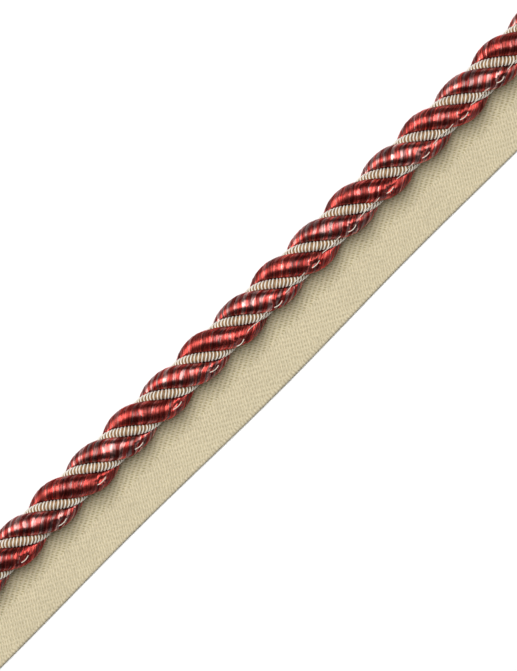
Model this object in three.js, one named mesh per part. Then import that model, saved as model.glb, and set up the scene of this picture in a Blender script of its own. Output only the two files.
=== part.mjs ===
// Twisted cord trim on a tape, a straight cut length lying flat with its tape down.
// Two thick floss-covered strands, one plain and one striped, are twisted together right-handed,
// and two thin ribbed strands lie in the grooves between them. The cord is sewn along the heading
// edge of a flat herringbone tape, whose free part is what goes into a seam.
// Millimetres. +X runs along the trim, +Y from the tape to the cord, +Z up. The origin is the
// middle of the underside of the whole trim's box.
import * as THREE from "three";

// Driving dimensions.
const CUT_LENGTH = 200;
const CORD_DIAMETER = 10;
const STRIPED_DIAMETER = 9.6; // the striped strand is a little slimmer, so its crowns lie lower
const LAY = 22.75; // length of one full turn of the twist
const TAPE_WIDTH = 16; // the herringbone turns along its middle
const TAPE_THICKNESS = 1;
const TAPE_FREE_WIDTH = 16.6; // mean width from the cord's axis to the free edge
const TAPE_GAP = 0.3; // between the tape and the cord on it
const STRAND_GAP = 0.4; // between neighbouring strands

// Thick strand, in the plane across the cord: an oval crown round its own middle.
const THICK_OFFSET = 2.3; // from the cord's axis to the strand's middle
const THICK_HALF_AROUND = 3.15; // half the crown's width around the cord

// Thin strand, in the same plane: an oval.
const THIN_OFFSET = 2.6;
const THIN_HALF_OUT = 1.1;
const THIN_HALF_AROUND = 1.25;

// Where the plain strand points at the middle of the trim, from +Y towards +Z.
const PLAIN_STRAND_ANGLE = THREE.MathUtils.degToRad(187.5);

// How finely the strands are faceted.
const STEPS_PER_TURN = 12;
const THICK_SIDES = 16;
const THIN_SIDES = 8;

// The free edge's slow waver: each row is one sine wave along the trim.
const EDGE_WAVES = [
  { wavelength: 132, height: 0.18, shift: -38 },
  { wavelength: 78, height: 0.18, shift: -26 },
];
const EDGE_POINTS = 32;

// Distance from a point inside or outside an oval to its outline, along a ray; Infinity for a miss.
function rayToOval(from, angle, oval) {
  const stepX = Math.cos(angle) / oval.halfX;
  const stepY = Math.sin(angle) / oval.halfY;
  const startX = (from.x - oval.x) / oval.halfX;
  const startY = (from.y - oval.y) / oval.halfY;
  const a = stepX * stepX + stepY * stepY;
  const b = startX * stepX + startY * stepY;
  const c = startX * startX + startY * startY - 1;
  const discriminant = b * b - a * c;
  if (discriminant < 0) return Infinity;
  const near = (-b - Math.sqrt(discriminant)) / a;
  const far = (-b + Math.sqrt(discriminant)) / a;
  if (near > 0) return near;
  return far > 0 ? far : Infinity;
}

// Section of a thick strand, x outwards from the cord's axis and y around it. From its middle,
// each ray ends at the crown, at the thin strand beside it, or at the plane between the two
// thick strands, whichever comes first.
function thickSection(diameter) {
  const middle = new THREE.Vector2(THICK_OFFSET, 0);
  const crown = {
    x: THICK_OFFSET,
    y: 0,
    halfX: diameter / 2 - THICK_OFFSET,
    halfY: THICK_HALF_AROUND,
  };
  const neighbours = [1, -1].map((side) => ({
    x: 0,
    y: side * THIN_OFFSET,
    halfX: THIN_HALF_AROUND + STRAND_GAP,
    halfY: THIN_HALF_OUT + STRAND_GAP,
  }));
  const points = [];
  for (let i = 0; i < THICK_SIDES; i++) {
    const angle = ((i + 0.5) / THICK_SIDES) * 2 * Math.PI;
    const inward = -Math.cos(angle);
    const toPlane = inward > 0 ? (THICK_OFFSET - STRAND_GAP / 2) / inward : Infinity;
    const reach = Math.min(
      toPlane,
      rayToOval(middle, angle, crown),
      ...neighbours.map((oval) => rayToOval(middle, angle, oval)),
    );
    points.push(
      new THREE.Vector2(
        middle.x + reach * Math.cos(angle),
        middle.y + reach * Math.sin(angle),
      ),
    );
  }
  return points;
}

// Section of a thin strand, with x outwards and y around as above.
function thinSection() {
  const points = [];
  for (let i = 0; i < THIN_SIDES; i++) {
    const angle = (i / THIN_SIDES) * 2 * Math.PI;
    points.push(
      new THREE.Vector2(
        THIN_OFFSET + THIN_HALF_OUT * Math.cos(angle),
        THIN_HALF_AROUND * Math.sin(angle),
      ),
    );
  }
  return points;
}

// A strand is its section carried along the cord's axis and turned evenly, one turn to a lay.
// The cord's axis is the X axis here; startAngle is where the section's x points at x = 0.
function strandGeometry(section, startAngle) {
  const geometry = new THREE.ExtrudeGeometry(new THREE.Shape(section), {
    depth: CUT_LENGTH,
    steps: Math.round((CUT_LENGTH / LAY) * STEPS_PER_TURN),
    bevelEnabled: false,
  });
  const position = geometry.attributes.position;
  for (let i = 0; i < position.count; i++) {
    const along = position.getZ(i) - CUT_LENGTH / 2;
    const turn = startAngle + (along / LAY) * 2 * Math.PI;
    const out = position.getX(i);
    const around = position.getY(i);
    position.setXYZ(
      i,
      along,
      out * Math.cos(turn) - around * Math.sin(turn),
      out * Math.sin(turn) + around * Math.cos(turn),
    );
  }
  geometry.computeVertexNormals();
  return geometry;
}

// How far the free edge stands out beyond its mean line at a place along the trim.
function edgeWaver(along) {
  return EDGE_WAVES.reduce(
    (sum, wave) =>
      sum +
      wave.height *
        Math.sin(((along - wave.shift) / wave.wavelength) * 2 * Math.PI),
    0,
  );
}

// The tape is a flat strip with a straight heading edge under the cord and a wavering free edge.
function tapeGeometry() {
  const half = CUT_LENGTH / 2;
  const headingEdge = TAPE_WIDTH - TAPE_FREE_WIDTH;
  const outline = new THREE.Shape();
  outline.moveTo(half, headingEdge);
  outline.lineTo(-half, headingEdge);
  for (let i = 0; i <= EDGE_POINTS; i++) {
    const along = -half + (CUT_LENGTH * i) / EDGE_POINTS;
    outline.lineTo(along, -TAPE_FREE_WIDTH - edgeWaver(along));
  }
  return new THREE.ExtrudeGeometry(outline, {
    depth: TAPE_THICKNESS,
    bevelEnabled: false,
  });
}

const plainFloss = new THREE.MeshStandardMaterial({
  color: 0xa32c30,
  roughness: 0.35,
  metalness: 0,
});
const stripedFloss = new THREE.MeshStandardMaterial({
  color: 0xb5656a,
  roughness: 0.35,
  metalness: 0,
});
const ribbedGimp = new THREE.MeshStandardMaterial({
  color: 0xc9bb9a,
  roughness: 0.5,
  metalness: 0,
});
const herringboneCotton = new THREE.MeshStandardMaterial({
  color: 0xd0c49d,
  roughness: 0.9,
  metalness: 0,
});

function namedMesh(name, geometry, material) {
  const mesh = new THREE.Mesh(geometry, material);
  mesh.name = name;
  return mesh;
}

const quarterTurn = Math.PI / 2;

const cord = new THREE.Group();
cord.position.z = TAPE_THICKNESS + TAPE_GAP + CORD_DIAMETER / 2;
cord.add(
  namedMesh(
    "plain_strand",
    strandGeometry(thickSection(CORD_DIAMETER), PLAIN_STRAND_ANGLE),
    plainFloss,
  ),
  namedMesh(
    "striped_strand",
    strandGeometry(
      thickSection(STRIPED_DIAMETER),
      PLAIN_STRAND_ANGLE + 2 * quarterTurn,
    ),
    stripedFloss,
  ),
  namedMesh(
    "ribbed_strand_a",
    strandGeometry(thinSection(), PLAIN_STRAND_ANGLE + quarterTurn),
    ribbedGimp,
  ),
  namedMesh(
    "ribbed_strand_b",
    strandGeometry(thinSection(), PLAIN_STRAND_ANGLE - quarterTurn),
    ribbedGimp,
  ),
);

const trim = new THREE.Group();
trim.add(cord, namedMesh("tape", tapeGeometry(), herringboneCotton));

// The pieces above are placed from the cord's axis; this centres the whole trim on the origin.
const box = new THREE.Box3().setFromObject(trim, true);
trim.position.y = -(box.min.y + box.max.y) / 2;

export default trim;
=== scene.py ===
import bpy
import numpy as np
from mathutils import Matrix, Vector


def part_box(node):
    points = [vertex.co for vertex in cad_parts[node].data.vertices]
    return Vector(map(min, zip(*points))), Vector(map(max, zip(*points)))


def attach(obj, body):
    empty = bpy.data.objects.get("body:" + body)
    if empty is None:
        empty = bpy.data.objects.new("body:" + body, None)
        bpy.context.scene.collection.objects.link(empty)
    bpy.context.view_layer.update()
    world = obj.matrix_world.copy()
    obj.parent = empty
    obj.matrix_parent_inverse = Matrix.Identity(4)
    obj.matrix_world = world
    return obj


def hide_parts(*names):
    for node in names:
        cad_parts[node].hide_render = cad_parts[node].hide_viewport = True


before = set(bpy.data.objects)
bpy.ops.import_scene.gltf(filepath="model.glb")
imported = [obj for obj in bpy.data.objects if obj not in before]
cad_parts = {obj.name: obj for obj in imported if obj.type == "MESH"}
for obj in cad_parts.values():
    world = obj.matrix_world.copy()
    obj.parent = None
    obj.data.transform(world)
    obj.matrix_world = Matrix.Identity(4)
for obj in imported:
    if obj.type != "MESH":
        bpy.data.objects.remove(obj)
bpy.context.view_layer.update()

# The lay of the cord
# Four strands are laid together right-handed round one straight axis: two thick ones covered with
# floss, and two thin ribbed ones in the grooves between them. Sizes are in millimetres.
MM = 0.001
CUT_LENGTH = 200.0
LAY = 22.75
PLAIN_ANGLE = np.radians(187.5)
low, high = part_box("plain_strand")
AXIS_Y = (low[1] + high[1]) / 2 / MM
AXIS_Z = (low[2] + high[2]) / 2 / MM


def lay_in_cord(along, out, around, start):
    """Place in the cord of a point of a strand.

    At `along` the strand points from the axis at the angle start + one turn for each lay, from +Y
    towards +Z. `out` is measured from the axis that way, and `around` square to it.
    """
    turn = start + along / LAY * 2 * np.pi
    y = AXIS_Y + out * np.cos(turn) - around * np.sin(turn)
    z = AXIS_Z + out * np.sin(turn) + around * np.cos(turn)
    return np.stack(np.broadcast_arrays(along, y, z), -1)


def square_to_strand(out, around, strand_offset):
    """How far along the cord a point moves to lie in the plane square to its strand.

    The strand's middle circles the axis at strand_offset, so the plane leans: the shift is
    -r k b / (1 + r k^2 a), with r the offset, k the turn for each millimetre, a out and b around.
    """
    k = 2 * np.pi / LAY
    return -strand_offset * k * around / (1 + strand_offset * k * k * out)


def soft_noise(shape, knots, seed):
    """Smooth random surface from -1 to 1: a small random grid, stretched with cosine blending."""
    rng = np.random.default_rng(seed)
    grid = rng.uniform(-1, 1, (knots[0] + 1, knots[1] + 1))
    grid[:, -1] = grid[:, 0]
    weights = []
    for size, count in zip(shape, knots):
        place = np.linspace(0, count, size)
        whole = np.minimum(place.astype(int), count - 1)
        part = (1 - np.cos((place - whole) * np.pi)) / 2
        table = np.zeros((size, count + 1))
        table[np.arange(size), whole] = 1 - part
        table[np.arange(size), whole + 1] += part
        weights.append(table)
    return weights[0] @ grid @ weights[1].T


def tube(rings, across, along):
    """Vertices, faces and UVs of a closed tube, from rings of points of shape (n, m, 3).

    Each ring's last point joins its first, and a fan closes each end. The UVs are (n, m + 1)
    arrays, whose last column is the first one's place after a full turn. Faces point outwards
    where the rings run right-handed round the way from the first ring to the last.
    """
    n, m = rings.shape[:2]
    points = np.concatenate([rings.reshape(-1, 3), rings[[0, -1]].mean(1)])
    ring, side = np.meshgrid(np.arange(n - 1), np.arange(m), indexing="ij")
    ring, side = ring.ravel(), side.ravel()
    after = (side + 1) % m
    this, following = ring * m, (ring + 1) * m
    quads = np.stack([this + side, this + after, following + after, following + side], 1)
    uv_rows = np.stack([ring, ring, ring + 1, ring + 1], 1)
    uv_cols = np.stack([side, side + 1, side + 1, side], 1)
    quad_uv = np.stack([across[uv_rows, uv_cols], along[uv_rows, uv_cols]], -1)
    rim = np.arange(m)
    first = np.stack([(rim + 1) % m, rim, np.full(m, n * m)], 1)
    last = np.stack([rim, (rim + 1) % m, np.full(m, n * m + 1)], 1)
    last[:, :2] += (n - 1) * m
    return points, quads, np.concatenate([first, last]), quad_uv


def mesh_piece(name, parts, materials):
    """One mesh object from parts (points, quads, triangles, quad UVs, slot, end slot) in millimetres."""
    points, faces, uvs, slots, base = [], [], [], [], 0
    for part_points, quads, triangles, quad_uv, slot, end_slot in parts:
        points.append(part_points)
        faces += (quads + base).tolist() + (triangles + base).tolist()
        uvs += [quad_uv.reshape(-1, 2), np.zeros((triangles.size, 2))]
        slots += [np.full(len(quads), slot), np.full(len(triangles), end_slot)]
        base += len(part_points)
    mesh = bpy.data.meshes.new(name)
    mesh.from_pydata((np.concatenate(points) * MM).tolist(), [], faces)
    layer = mesh.uv_layers.new(name="wrap")
    layer.uv.foreach_set("vector", np.concatenate(uvs).astype(np.float32).ravel())
    mesh.polygons.foreach_set("material_index", np.concatenate(slots).astype(np.int32))
    mesh.shade_smooth()
    for material in materials:
        mesh.materials.append(material)
    piece = bpy.data.objects.new(name, mesh)
    bpy.context.collection.objects.link(piece)
    return piece


def new_material(name):
    """A material, its shader, and two functions: one adds a node, the other a Math node's output."""
    material = bpy.data.materials.new(name)
    material.use_nodes = True
    tree = material.node_tree
    shader = tree.nodes["Principled BSDF"]

    def node(kind, inputs=(), **settings):
        made = tree.nodes.new("ShaderNode" + kind)
        for key, value in settings.items():
            setattr(made, key, value)
        for key, value in dict(inputs).items():
            if isinstance(value, bpy.types.NodeSocket):
                tree.links.new(value, made.inputs[key])
            else:
                made.inputs[key].default_value = value
        return made

    def math(operation, first, second=0.0, third=0.0):
        return node("Math", {0: first, 1: second, 2: third}, operation=operation).outputs[0]

    return material, shader, node, math


def finish_surface(material, colour, bump, roughness):
    """Puts a colour node, a bump node and an even or a linked roughness into the shader."""
    links, shader = material.node_tree.links, material.node_tree.nodes["Principled BSDF"]
    links.new(colour.outputs[0], shader.inputs["Base Color"])
    links.new(bump.outputs[0], shader.inputs["Normal"])
    if isinstance(roughness, bpy.types.NodeSocket):
        links.new(roughness, shader.inputs["Roughness"])
    else:
        shader.inputs["Roughness"].default_value = roughness


# The thick strands
# Each is a soft yarn bundle covered with lustrous floss, four broad ends wound side by side round
# it. One is red with thin pale filaments, the other has a pale band in each turn. The sewing
# pulls a dent into each one where it holds the cord to the tape.
PLAIN_DIAMETER = 10.0
STRIPED_DIAMETER = 9.6
THICK_OFFSET = 2.3
THICK_HALF_AROUND = 3.15
THIN_OFFSET = 2.6
THIN_HALF_OUT = 1.1
THIN_HALF_AROUND = 1.37
STRANDS_APART = 0.06
ENDS_PER_TURN = 4
END_WIDTH = 1.17 / ENDS_PER_TURN
RINGS_PER_END = 4
THICK_SIDES = 36
END_RELIEF = 0.055
END_SWELL = 0.04
SLOW_SWELL = 0.01
FLOSS_SUNK = 0.03
FLOSS_WANDER = 0.08
STRAIGHT_AT_CUT = 5.0
SILHOUETTE = 5.5
DENT_HALF_WIDTH = 0.6
FOLD_DEPTH = 0.10
FOLD_REACH = 1.5
# Each stitch's place along the trim, and how far it lies on the tape's side of the cord's axis.
STITCHES = (
    (-93.2, 3.7), (-81.8, 3.8), (-70.4, 3.7), (-58.9, 3.86), (-46.5, 3.51), (-35.4, 3.86), (-23.3, 3.58),
    (-11.9, 3.65), (-3.9, 3.65), (7.9, 3.51), (19.8, 3.08), (30.9, 3.27), (42.7, 3.14), (53.6, 3.23),
    (65.5, 3.19), (76.7, 3.23), (88.1, 3.20),
)


def ray_to_oval(middle, angle, oval):
    """Way from the point (middle, 0) to an oval (x, y, half x, half y) along rays; inf for a miss."""
    step = np.stack([np.cos(angle) / oval[2], np.sin(angle) / oval[3]])
    start = np.array([(middle - oval[0]) / oval[2], -oval[1] / oval[3]])[:, None]
    a, b, c = (step**2).sum(0), (start * step).sum(0), (start**2).sum(0) - 1
    root = np.sqrt(np.maximum(b * b - a * c, 0))
    near, far = (-b - root) / a, (-b + root) / a
    way = np.where(near > 0, near, np.where(far > 0, far, np.inf))
    return np.where(b * b - a * c < 0, np.inf, way)


def thick_section(diameter):
    """Section of a thick strand: points (out, around), their normals and their arc in millimetres.

    From the strand's middle each ray ends at the oval crown, at the oval of a thin strand beside it
    or at the plane between the thick strands; the least of them is taken, with soft corners. The
    points lie closer on the crown than on the hidden side.
    """
    angle = np.linspace(-np.pi, np.pi, 1441)[:-1]
    inward = np.maximum(-np.cos(angle), 1e-6)
    crown = (THICK_OFFSET, 0, diameter / 2 - THICK_OFFSET, THICK_HALF_AROUND)
    ways = [(THICK_OFFSET - STRANDS_APART / 2) / inward, ray_to_oval(THICK_OFFSET, angle, crown)]
    for side in (1, -1):
        beside = (0, side * THIN_OFFSET, THIN_HALF_AROUND + STRANDS_APART, THIN_HALF_OUT + STRANDS_APART)
        ways.append(ray_to_oval(THICK_OFFSET, angle, beside))
    reach = sum(np.minimum(way, 50) ** -14.0 for way in ways) ** (-1 / 14)
    out, around = THICK_OFFSET + reach * np.cos(angle), reach * np.sin(angle)
    loop = np.append(np.arange(len(angle)), 0)
    length = np.hypot(np.diff(out[loop]), np.diff(around[loop]))
    arc = np.append(0, np.cumsum(length))
    weight = np.append(0, np.cumsum(length * np.where(out > 0.6, 1.0, 0.4)))
    steps = np.arange(len(weight))
    pick = np.interp(np.arange(THICK_SIDES) / THICK_SIDES * weight[-1], weight, steps)
    section = np.stack([np.interp(pick, steps, out[loop]), np.interp(pick, steps, around[loop])], 1)
    ahead = np.roll(section, -1, 0) - np.roll(section, 1, 0)
    normal = np.stack([ahead[:, 1], -ahead[:, 0]], 1) / np.hypot(*ahead.T)[:, None]
    return section, normal, np.append(np.interp(pick, steps, arc), arc[-1])


def wrap_lean(arc):
    """How far along the floss lies off the square at each place of the section, t mm from the crown.

    0.01 t^2 - 0.09 t - 0.005 t^3 on the side that shows; behind, it closes evenly to one value.
    """
    half = arc[-1] / 2
    t = arc[:-1] - half
    shown = np.clip(t, -SILHOUETTE, SILHOUETTE)
    lean = 0.01 * shown**2 - 0.09 * shown - 0.005 * shown**3
    behind = np.clip((np.abs(t) - SILHOUETTE) / (half - SILHOUETTE), 0, 1)
    return lean + (0.01 * SILHOUETTE**2 - lean) * behind


def sewing_dent(points):
    """Depth that the sewing pulls the cord in, on the upper side.

    At dx along and dy across from a stitch it is a pit, depth exp(-(dx / length)^2 - (dy / half
    width)^2), with seven folds, depth r sin(7 angle) exp(-(r / reach)^2), where r is the way to it.
    """
    rng = np.random.default_rng(31)
    x, y = points[..., 0], AXIS_Y - points[..., 1]
    upper = np.clip(points[..., 2] - AXIS_Z, 0, 1)
    depth = np.zeros(x.shape)
    for number, (place, aside) in enumerate(STITCHES):
        near = np.abs(x - place) < 4
        dx, dy = x[near] - place, y[near] - aside + 0.1
        deep, length = rng.uniform(0.35, 0.65), rng.uniform(1.0, 1.6)
        pit = deep * np.exp(-((dx / length) ** 2) - (dy / DENT_HALF_WIDTH) ** 2)
        way = np.hypot(dx, 1.3 * dy)
        folds = FOLD_DEPTH * np.sin(7 * np.arctan2(dy, dx) + 1.7 * number)
        depth[near] += (pit + folds * way * np.exp(-((way / FOLD_REACH) ** 2))) * upper[near]
    return depth


def floss_strand(diameter, start, seed):
    """A thick strand: rings of the section, each ring one line of the floss wound round it.

    Ring q lies at q + the shift that sets it square to the strand + the wrap's lean, and runs
    straight at the cut ends. Each end of floss is a low ridge sqrt|sin| across the rings with its
    own height and its own slow swell round the strand, and the sewing's dents are taken off.
    """
    rng = np.random.default_rng(seed)
    section, normal, arc = thick_section(diameter)
    count = int(round(CUT_LENGTH / (END_WIDTH / RINGS_PER_END))) + 1
    ring = np.linspace(-CUT_LENGTH / 2, CUT_LENGTH / 2, count)
    ends = (ring + CUT_LENGTH / 2) / END_WIDTH
    index = np.minimum(ends.astype(int), int(ends[-1]) - 1)
    height = rng.uniform(0.5, 1.2, index[-1] + 1)[index]
    ridge = np.sqrt(np.abs(np.sin(ends * np.pi)))
    swell = soft_noise((index[-1] + 1, THICK_SIDES), (index[-1], 14), seed + 3)[index]
    slow = soft_noise((count, THICK_SIDES), (130, 8), seed + 1)
    relief = END_RELIEF * (ridge * height - 1.1)[:, None] + END_SWELL * swell * ridge[:, None]
    relief = relief + SLOW_SWELL * slow - FLOSS_SUNK
    wander = FLOSS_WANDER * soft_noise((count, THICK_SIDES), (700, 7), seed + 2)
    room = np.clip((CUT_LENGTH / 2 - np.abs(ring)) / STRAIGHT_AT_CUT, 0, 1)
    room = (room * room * (3 - 2 * room))[:, None]
    for dent in (True, False):
        out = section[None, :, 0] + normal[None, :, 0] * relief
        around = section[None, :, 1] + normal[None, :, 1] * relief
        shift = square_to_strand(out, around, THICK_OFFSET) + wrap_lean(arc)[None, :] + wander
        rings = lay_in_cord(ring[:, None] + shift * room, out, around, start)
        if dent:
            relief = relief - sewing_dent(rings)
    across = np.broadcast_to(ends[:, None], (count, THICK_SIDES + 1))
    lengthwise = np.broadcast_to(arc[None, :], (count, THICK_SIDES + 1))
    return tube(rings, across, lengthwise)


def floss_material(name, pale_share, pale_pick):
    """Lustrous floss. UV x counts the ends of floss and UV y is the way along them in millimetres.

    Filaments stray a little over the ends, so UV x takes a fine noise before its whole number and
    its place in the turn of four are read. A place under pale_share of the turn is pale, where the
    turn's random value is under pale_pick. Each end has its own shade, with long threads in it that
    differ in shade and in smoothness, and painted shade darkens the valleys between threads. A clear
    gloss whitens the pale filaments and some fine threads in the light. The shine under it is drawn
    out across the ends, as on a bundle of smooth fibres.
    """
    material, shader, node, math = new_material(name)

    def noise(across, along, detail=1.0):
        scaled = node("CombineXYZ", {0: math("MULTIPLY", u, across), 1: math("MULTIPLY", v, along)})
        made = node("TexNoise", {"Vector": scaled.outputs[0], "Scale": 1.0, "Detail": detail})
        return made.outputs["Fac"]

    def spread(value, low, high, to_low, to_high):
        return node("MapRange", {0: value, 1: low, 2: high, 3: to_low, 4: to_high}).outputs[0]

    def random(value):
        return node("TexWhiteNoise", {"W": value}, noise_dimensions="1D").outputs["Value"]

    place = node("SeparateXYZ", {0: node("UVMap", uv_map="wrap").outputs[0]})
    u, v = place.outputs[0], place.outputs[1]
    wander = spread(noise(0.35, 0.13), 0.3, 0.7, -0.6, 0.6)
    filament = spread(noise(2.0, 0.14, 2.0), 0.25, 0.75, -0.4, 0.4)
    turn = math("DIVIDE", math("ADD", math("ADD", u, wander), filament), float(ENDS_PER_TURN))
    pale = math("MULTIPLY", math("LESS_THAN", math("FRACT", turn), pale_share),
                math("LESS_THAN", random(math("FLOOR", turn)), pale_pick))
    end_shade = random(math("FLOOR", math("ADD", u, 0.5)))
    red = node("MixRGB", {0: end_shade, 1: (0.50, 0.054, 0.046, 1), 2: (0.75, 0.132, 0.106, 1)})
    light = node("MixRGB", {0: end_shade, 1: (0.55, 0.19, 0.17, 1), 2: (0.90, 0.47, 0.43, 1)})
    dyed = node("MixRGB", {0: pale, 1: red.outputs[0], 2: light.outputs[0]})
    threads = math("MULTIPLY", math("ADD", u, wander), 0.75)
    thread = random(math("FLOOR", threads))
    # Painted shade: each thread darkens towards its edges, standing in for the shade in the valleys
    # between threads.
    from_middle = math("ABSOLUTE", math("SUBTRACT", math("FRACT", threads), 0.5))
    shade = math("MULTIPLY", spread(thread, 0.0, 1.0, 0.38, 1.4), spread(from_middle, 0.25, 0.5, 1.1, 0.4))
    shade = math("MULTIPLY", shade, spread(noise(1.6, 0.12, 2.0), 0.35, 0.65, 0.85, 1.15))
    colour = node("MixRGB", {0: 1.0, 1: dyed.outputs[0], 2: shade}, blend_type="MULTIPLY")
    bump = node("Bump", {"Height": thread, "Strength": 1.0, "Distance": 0.00003})
    tangent = node("Tangent", direction_type="UV_MAP", uv_map="wrap")
    glint = spread(random(math("FLOOR", math("MULTIPLY", threads, 1.6))), 0.45, 1.0, 0.05, 0.75)
    finish_surface(material, colour, bump, spread(thread, 0.0, 1.0, 0.68, 0.50))
    links = material.node_tree.links
    links.new(tangent.outputs[0], shader.inputs["Tangent"])
    links.new(spread(pale, 0.0, 1.0, 0.96, 1.0), shader.inputs["Metallic"])
    links.new(math("MAXIMUM", glint, math("MULTIPLY", pale, 0.75)), shader.inputs["Coat Weight"])
    shader.inputs["Anisotropic"].default_value = 1.0
    shader.inputs["Coat Roughness"].default_value = 0.25
    shader.inputs["Specular Tint"].default_value = (0.60, 0.18, 0.14, 1)
    return material


def cut_floss_material():
    """The cut face of a strand: short fibre ends, seen as fine dots on Object coordinates."""
    material, _, node, _ = new_material("cut_floss")
    dots = node("TexVoronoi", {"Vector": node("TexCoord").outputs["Object"], "Scale": 3500.0})
    apart = dots.outputs["Distance"]
    colour = node("MixRGB", {0: apart, 1: (0.45, 0.08, 0.07, 1), 2: (0.10, 0.01, 0.01, 1)})
    bump = node("Bump", {"Height": apart, "Strength": 0.6, "Distance": 0.0002})
    finish_surface(material, colour, bump, 0.9)
    return material


cut_floss = cut_floss_material()
skin = []
for name, diameter, start, seed, pale_share, pale_pick in (
    ("plain_strand", PLAIN_DIAMETER, PLAIN_ANGLE, 3, 0.08, 0.8),
    ("striped_strand", STRIPED_DIAMETER, PLAIN_ANGLE + np.pi, 7, 0.44, 1.0),
):
    wound = (*floss_strand(diameter, start, seed), 0, 1)
    floss = floss_material(name.replace("strand", "floss"), pale_share, pale_pick)
    strand = mesh_piece(name + "_floss", [wound], [floss, cut_floss])
    skin.append(wound[0])
    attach(strand, "root")
    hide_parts(name)

# The thin ribbed strands
# Each is a gold-tan yarn with a round cream cord wound round it in open turns, so that the cord
# stands up in ribs. They lie in the two grooves between the thick strands.
RIB_RADIUS = 0.175
RIB_INSET = 0.15
RIB_ADVANCE = 0.60
RIB_SIDES = 6
RIB_STEPS = 19
RIB_UNEVEN = 0.035
BARE_AT_CUT = 1.0
CORE_INSET = RIB_INSET + 0.08
CORE_SIDES = 20
CORE_STEP = 0.35


def ribbed_core(start):
    """The yarn inside: an oval tube that the ribs stand 0.25 mm above."""
    count = int(CUT_LENGTH / CORE_STEP) + 1
    along = np.linspace(-CUT_LENGTH / 2, CUT_LENGTH / 2, count)[:, None]
    angle = np.linspace(0, 2 * np.pi, CORE_SIDES + 1)[None, :]
    out = THIN_OFFSET + (THIN_HALF_OUT - CORE_INSET) * np.cos(angle[:, :-1])
    around = (THIN_HALF_AROUND - CORE_INSET) * np.sin(angle[:, :-1])
    rings = lay_in_cord(along, out, around, start)
    shape = (count, CORE_SIDES + 1)
    return tube(rings, np.broadcast_to(along, shape), np.broadcast_to(angle, shape))


def round_tube(path, outwards, radius, sides):
    """A round tube along a path. Its rings stand square to the path, from the outward way on."""
    ahead = np.gradient(path, axis=0)
    ahead /= np.linalg.norm(ahead, axis=1)[:, None]
    outwards = outwards - (outwards * ahead).sum(1)[:, None] * ahead
    outwards /= np.linalg.norm(outwards, axis=1)[:, None]
    sideways = np.cross(ahead, outwards)
    turn = np.arange(sides) / sides * 2 * np.pi
    rings = path[:, None] + radius * (
        np.cos(turn)[None, :, None] * outwards[:, None] + np.sin(turn)[None, :, None] * sideways[:, None])
    length = np.append(0, np.cumsum(np.linalg.norm(np.diff(path, axis=0), axis=1)))
    shape = (len(path), sides + 1)
    across = np.broadcast_to(np.arange(sides + 1) / sides, shape)
    return tube(rings, across, np.broadcast_to(length[:, None], shape))


def rib_cord(start, seed):
    """The cord wound round it, left-handed: a round tube along the oval helix.

    The helix passes the angle p at along = s + shift - advance * p / 2 pi, where the shift sets it
    square to the strand, and 0.05 around^3 - 0.10 around bends the rib into a slight S.
    """
    turns = int((CUT_LENGTH - 2 * BARE_AT_CUT) / RIB_ADVANCE)
    wound = np.arange(turns * RIB_STEPS + 1) / RIB_STEPS
    angle = -wound * 2 * np.pi
    spacing = np.random.default_rng(seed).normal(0, RIB_UNEVEN, turns + 1)
    uneven = np.interp(wound, np.arange(turns + 1), spacing)
    out = THIN_OFFSET + (THIN_HALF_OUT - RIB_INSET) * np.cos(angle)
    around = (THIN_HALF_AROUND - RIB_INSET) * np.sin(angle)
    along = -turns * RIB_ADVANCE / 2 - RIB_ADVANCE * angle / (2 * np.pi) + uneven
    along = along + square_to_strand(out, around, THIN_OFFSET) - 0.10 * around + 0.05 * around**3
    path = lay_in_cord(along, out, around, start)
    return round_tube(path, path - lay_in_cord(along, THIN_OFFSET, 0.0, start), RIB_RADIUS, RIB_SIDES)


def yarn_material(name, dark, light, roughness, twist):
    """Spun yarn: two plies as stripes sin(4 pi (UV x + twist UV y)), with fibres as a fine noise."""
    material, shader, node, math = new_material(name)
    place = node("SeparateXYZ", {0: node("UVMap", uv_map="wrap").outputs[0]})
    slanted = math("ADD", place.outputs[0], math("MULTIPLY", place.outputs[1], twist))
    ply = math("SINE", math("MULTIPLY", slanted, 4 * np.pi))
    object_place = node("TexCoord").outputs["Object"]
    fibres = node("TexNoise", {"Vector": object_place, "Scale": 900.0, "Detail": 3.0}).outputs["Fac"]
    mixed = math("ADD", node("MapRange", {0: ply, 1: -1.0, 2: 1.0, 3: 0.0, 4: 0.6}).outputs[0], fibres)
    shade = node("MapRange", {0: mixed, 1: 0.3, 2: 1.2}).outputs[0]
    colour = node("MixRGB", {0: shade, 1: dark, 2: light})
    bump = node("Bump", {"Height": mixed, "Strength": 0.35, "Distance": 0.00004})
    finish_surface(material, colour, bump, roughness)
    shader.inputs["Sheen Weight"].default_value = 0.2
    return material


rib_cream = yarn_material("rib_cream", (0.50, 0.46, 0.38, 1), (0.86, 0.82, 0.73, 1), 0.40, 1.6)
core_tan = yarn_material("core_tan", (0.12, 0.06, 0.02, 1), (0.30, 0.17, 0.065, 1), 0.6, 0.8)
for letter, start, seed in (("a", PLAIN_ANGLE + np.pi / 2, 11), ("b", PLAIN_ANGLE - np.pi / 2, 12)):
    parts = [(*ribbed_core(start), 0, 0), (*rib_cord(start, seed), 1, 1)]
    ribbed = mesh_piece(f"ribbed_strand_{letter}_gimp", parts, [core_tan, rib_cream])
    skin.append(parts[1][0])
    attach(ribbed, "root")
    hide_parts(f"ribbed_strand_{letter}")

# The sewing thread
# Cream thread holds the cord to the tape: one curved stitch on each thick strand, sunk into the
# floss, and on the later half a finer thread that crosses each thin strand from one to the next.
STITCH_HALF = 1.2
STITCH_RADIUS = 0.10
CROSSING_FROM = 8
CROSSING_RADIUS = 0.075
THREAD_SIDES = 8
TOUCH = 0.17
skin = np.concatenate(skin)
aside = AXIS_Y - skin[:, 1]
skin = skin[(aside > 1.5) & (aside < 5) & (skin[:, 2] > AXIS_Z)]


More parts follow.
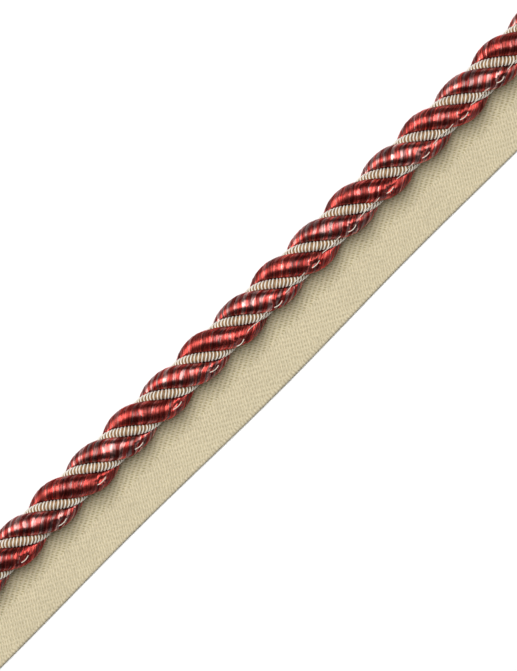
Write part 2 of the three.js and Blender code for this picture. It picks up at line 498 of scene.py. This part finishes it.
def cord_top(x, y):
    """The highest point of the cord that a thread touches at each place."""
    near = skin[(skin[:, 0] > x.min() - 0.3) & (skin[:, 0] < x.max() + 0.3)]
    apart = np.hypot(near[None, :, 0] - x[:, None], near[None, :, 1] - y[:, None])
    return np.where(apart < TOUCH, near[None, :, 2], AXIS_Z).max(1)


def thread_on_cord(x, y, radius, sink):
    """A thread laid on the cord over the places (x, y), with its ends sunk.

    Its height is half way between the cord's top and the taut line over it, which at each place is
    the highest of the straight lines between two places of the top on either side.
    """
    top = cord_top(x, y) + 0.6 * radius
    n = len(x)
    i, j, k = np.meshgrid(np.arange(n), np.arange(n), np.arange(n), indexing="ij")
    share = (x[k] - x[i]) / np.where(i < j, x[j] - x[i], 1)
    share = np.where((i <= k) & (k <= j) & (i < j), share, np.nan)
    taut = np.nanmax(top[i] + (top[j] - top[i]) * share, axis=(0, 1))
    path = np.stack([x, y, 0.5 * (top + taut)], 1)
    path[:, 2] -= sink * np.abs(np.linspace(-1, 1, n)) ** 5
    return round_tube(path, np.broadcast_to([0.0, 0.0, 1.0], path.shape), radius, THREAD_SIDES)


parts = []
rng = np.random.default_rng(21)
for number, (place, aside) in enumerate(STITCHES):
    s = np.linspace(-1, 1, 15)
    half = STITCH_HALF * rng.uniform(0.9, 1.15)
    curve = (0.33 + rng.uniform(-0.08, 0.1)) * s**2 + rng.uniform(-0.1, 0.05) * s
    stitch = thread_on_cord(place + half * s, AXIS_Y - aside + curve - 0.12, STITCH_RADIUS, 0.4)
    parts.append((*stitch, 0, 0))
    if CROSSING_FROM <= number < len(STITCHES) - 1:
        after, after_aside = STITCHES[number + 1]
        x = np.linspace(place + 2.5, after - 2.8, 25)
        line = np.interp(x, [place, after], [aside - 0.75, after_aside - 0.6])
        y = AXIS_Y - line + 0.1 * np.sin(x * 1.3 + number)
        parts.append((*thread_on_cord(x, y, CROSSING_RADIUS, 0.3), 0, 0))
thread_cream = yarn_material("sewing_cream", (0.50, 0.44, 0.35, 1), (0.80, 0.74, 0.64, 1), 0.5, 2.5)
sewing = mesh_piece("sewing_thread", parts, [thread_cream])
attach(sewing, "root")

# The tape
# A flat cotton tape in herringbone twill, 16 mm wide with its turn along the middle. The cord is
# sewn over its heading edge, and the rest lies free.
TAPE_WIDTH = 16.0
TAPE_FREE = 16.6
TAPE_TOP = 0.97
SELVEDGE_TOP = TAPE_TOP * 0.55
WEAVE_DEPTH = 0.05
TAPE_LIFT = 0.28
LIFT_REACH = 5
EDGE_WAVES = ((132.0, 0.18, -38.0), (78.0, 0.18, -26.0))
WARP_ENDS = 56
WARP_STEP = TAPE_WIDTH / WARP_ENDS
PICK = 0.518
ROWS_PER_PICK = 3


def edge_waver(along):
    """How far the free edge stands out: the sum of height * sin(2 pi (x - shift) / wavelength)."""
    return sum(h * np.sin((along - shift) / wavelength * 2 * np.pi) for wavelength, h, shift in EDGE_WAVES)


def weave_relief(pick, end):
    """Relief from -1 to 1 of the 2/2 twill, which repeats after four picks and four ends.

    (cos 2 pi (p + w) / 4 + cos 2 pi (3 p - w) / 4) / 2, where w is the number of ends from the
    nearer edge of the tape, so that the twill's line turns in the middle.
    """
    way = np.minimum(end, WARP_ENDS - end)
    return (np.cos((pick + way) / 2 * np.pi) + np.cos((3 * pick - way) / 2 * np.pi)) / 2


def tape_mesh():
    """The tape as a closed slab with the weave's hollows in its upper face.

    Across, there is a column to each warp end; along, three rows to each pick. The sewing pulls the
    tape up against the cord by lift (1 - out / reach)^2, where out is the way from the cord's axis.
    """
    rows = int(round(CUT_LENGTH / PICK * ROWS_PER_PICK)) + 1
    along = np.linspace(-CUT_LENGTH / 2, CUT_LENGTH / 2, rows)[:, None]
    end = np.arange(WARP_ENDS + 1.0)[None, :]
    share = end / WARP_ENDS
    height = TAPE_TOP - WEAVE_DEPTH - WEAVE_DEPTH * weave_relief(along / PICK, end)
    height = np.where((end == 0) | (end == WARP_ENDS), SELVEDGE_TOP, height)
    out = share * TAPE_WIDTH + (TAPE_FREE - TAPE_WIDTH) + edge_waver(along) * share**1.5
    height = height + TAPE_LIFT * np.clip(1 - out / LIFT_REACH, 0, 1) ** 2
    top = np.stack(np.broadcast_arrays(along, AXIS_Y - out, height), -1)
    bottom = top[:, [0, -1]].copy()
    bottom[..., 2] = 0.0
    return top, bottom


top, bottom = tape_mesh()
n, m = top.shape[:2]
points = np.concatenate([top.reshape(-1, 3), bottom.reshape(-1, 3)])
index = np.arange(n * m).reshape(n, m)
under = n * m + np.arange(2 * n).reshape(n, 2)
quads = [np.stack([index[:-1, :-1], index[:-1, 1:], index[1:, 1:], index[1:, :-1]], -1).reshape(-1, 4)]
quads.append(np.stack([under[:-1, 1], under[:-1, 0], under[1:, 0], under[1:, 1]], -1))
quads.append(np.stack([under[:-1, 0], index[:-1, 0], index[1:, 0], under[1:, 0]], -1))
quads.append(np.stack([index[:-1, -1], under[:-1, 1], under[1:, 1], index[1:, -1]], -1))
faces = np.concatenate(quads)
end_faces = [
    [under[0, 0], under[0, 1], *index[0, ::-1]],
    [under[-1, 1], under[-1, 0], *index[-1]],
]
mesh = bpy.data.meshes.new("herringbone_tape")
mesh.from_pydata((points * MM).tolist(), [], faces.tolist() + [[int(i) for i in f] for f in end_faces])
mesh.shade_smooth()
tape = bpy.data.objects.new("herringbone_tape", mesh)
bpy.context.collection.objects.link(tape)
from_heading = AXIS_Y - points[:, 1] + TAPE_WIDTH - TAPE_FREE
uv = np.stack([points[:, 0] / PICK, from_heading / WARP_STEP], -1)
corner = np.empty(len(mesh.loops), np.int32)
mesh.loops.foreach_get("vertex_index", corner)
mesh.uv_layers.new(name="weave").uv.foreach_set("vector", uv[corner].astype(np.float32).ravel())


def twill_material():
    """Herringbone 2/2 twill from UV: x counts the picks along the tape, y the warp ends across it.

    Painted shade darkens the hollows, which follow the waves of weave_relief and a third one,
    (p - w) / 2, each moved a little by a noise; the hollows show a little of the weft's tan too.
    The painted shade is deeper on the side of the turn next to the cord, as shade from the cord.
    Painted shade also darkens fine valleys between the threads both ways, and loops of weft make
    the selvedges.
    """
    material, _, node, math = new_material("herringbone_cotton")

    def wave(turns, share):
        return math("MULTIPLY", math("COSINE", math("MULTIPLY", turns, 2 * np.pi)), share)

    def ramp(value, low, high, to_low=0.0, to_high=1.0):
        ends = {0: value, 1: low, 2: high, 3: to_low, 4: to_high}
        return node("MapRange", ends, interpolation_type="SMOOTHSTEP").outputs[0]

    def by_side(outer_share, inner_share):
        return math("MULTIPLY_ADD", inner, inner_share - outer_share, outer_share)

    object_place = node("TexCoord").outputs["Object"]
    place = node("SeparateXYZ", {0: node("UVMap", uv_map="weave").outputs[0]})
    stray = node("TexNoise", {"Vector": object_place, "Scale": 450.0, "Detail": 1.0}).outputs["Fac"]
    pick = math("ADD", place.outputs[0], ramp(stray, 0.3, 0.7, -0.25, 0.25))
    end = place.outputs[1]
    inner = ramp(end, WARP_ENDS / 2 - 0.5, WARP_ENDS / 2 + 0.5, 1.0, 0.0)
    way = math("MINIMUM", end, math("SUBTRACT", float(WARP_ENDS), end))
    first = math("DIVIDE", math("ADD", pick, way), 4.0)
    second = math("SUBTRACT", pick, first)
    third = math("DIVIDE", math("SUBTRACT", pick, way), 2.0)
    # The inner side's larger shares deepen the dark hollows next to the cord: painted shade.
    twill = math("ADD", wave(first, by_side(0.055, 0.175)), wave(second, 0.20))
    twill = math("ADD", twill, wave(third, by_side(0.06, 0.16)))
    selvedge = ramp(way, 2.0, 2.8, 1.0, 0.0)
    loops = wave(math("MULTIPLY", place.outputs[0], 0.66), 0.25)
    woven = node("Mix", {0: selvedge, 2: twill, 3: loops}).outputs[0]
    # The hollow amount marks the weave's hollows and the valleys between threads; the bump uses it as
    # relief, and the colour uses it as painted shade.
    threads = math("ADD", wave(end, 0.06), wave(pick, 0.06))
    hollow_depth_and_shade = math("ADD", math("ADD", woven, threads), 0.375)
    fibres = node("TexNoise", {"Vector": object_place, "Scale": 2000.0, "Detail": 3.0}).outputs["Fac"]
    patch = node("TexNoise", {"Vector": object_place, "Scale": 160.0, "Detail": 1.0}).outputs["Fac"]
    # The hollows' colour: painted shade with a little of the weft's tan, darker and less blue on the inner
    # side next to the cord.
    pit = node("MixRGB", {0: inner, 1: (0.33, 0.27, 0.15, 1), 2: (0.31, 0.255, 0.120, 1)})
    woven_colour = node("MixRGB", {0: hollow_depth_and_shade, 1: (0.608, 0.541, 0.378, 1), 2: pit.outputs[0]})
    shade = math("MULTIPLY", ramp(patch, 0.3, 0.7, 0.985, 1.015), ramp(fibres, 0.3, 0.7, 0.88, 1.12))
    colour = node("MixRGB", {0: 1.0, 1: woven_colour.outputs[0], 2: shade}, blend_type="MULTIPLY")
    height = math("SUBTRACT", math("MULTIPLY", fibres, 0.3), hollow_depth_and_shade)
    bump = node("Bump", {"Height": height, "Strength": 0.5, "Distance": 0.0001})
    finish_surface(material, colour, bump, 0.9)
    return material


mesh.materials.append(twill_material())
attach(tape, "root")
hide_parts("tape")

# Floor, camera and light
# A plain white table, a long lens straight above it with the trim rising to the right, and one
# large soft lamp overhead, a little to the cord's side.
FLOOR_HALF = 1.6
corners = np.array([(-1, -1, 0), (1, -1, 0), (1, 1, 0), (-1, 1, 0)]) * FLOOR_HALF
mesh = bpy.data.meshes.new("floor")
mesh.from_pydata(corners.tolist(), [], [(0, 1, 2, 3)])
floor = bpy.data.objects.new("floor", mesh)
bpy.context.collection.objects.link(floor)
material, shader, _, _ = new_material("floor_white")
shader.inputs["Base Color"].default_value = (0.86, 0.86, 0.86, 1)
shader.inputs["Roughness"].default_value = 0.9
mesh.materials.append(material)

PIXELS_LONG = 671
MM_PER_PIXEL = 0.2183
LENS = 500.0
SENSOR = 36.0
VIEW_ASIDE = 5.17
VIEW_HEIGHT = 5.0
camera_data = bpy.data.cameras.new("camera")
camera_data.lens = LENS
camera_data.sensor_width = SENSOR
camera_data.clip_end = 20.0
camera = bpy.data.objects.new("camera", camera_data)
bpy.context.collection.objects.link(camera)
bpy.context.scene.camera = camera
distance = PIXELS_LONG * MM_PER_PIXEL * LENS / SENSOR
camera.location = (0.0, (AXIS_Y - VIEW_ASIDE) * MM, (distance + VIEW_HEIGHT) * MM)
camera.rotation_euler = (0.0, 0.0, np.radians(-45))

LAMP_SIZE = 0.64
LAMP_AWAY = 0.9
LAMP_TILT = np.radians(16)
LAMP_WATTS = 12.2
lamp_data = bpy.data.lights.new("overhead_softbox", "AREA")
lamp_data.shape = "SQUARE"
lamp_data.size = LAMP_SIZE
lamp_data.energy = LAMP_WATTS
lamp = bpy.data.objects.new("overhead_softbox", lamp_data)
bpy.context.collection.objects.link(lamp)
lamp.location = (0.0, LAMP_AWAY * np.sin(LAMP_TILT), LAMP_AWAY * np.cos(LAMP_TILT))
lamp.rotation_euler = (-LAMP_TILT, 0.0, 0.0)
lamp.visible_camera = False
world = bpy.data.worlds.new("studio")
world.use_nodes = True
world.node_tree.nodes["Background"].inputs["Color"].default_value = (0.02, 0.02, 0.02, 1)
bpy.context.scene.world = world
bpy.context.scene.view_settings.view_transform = "Standard"
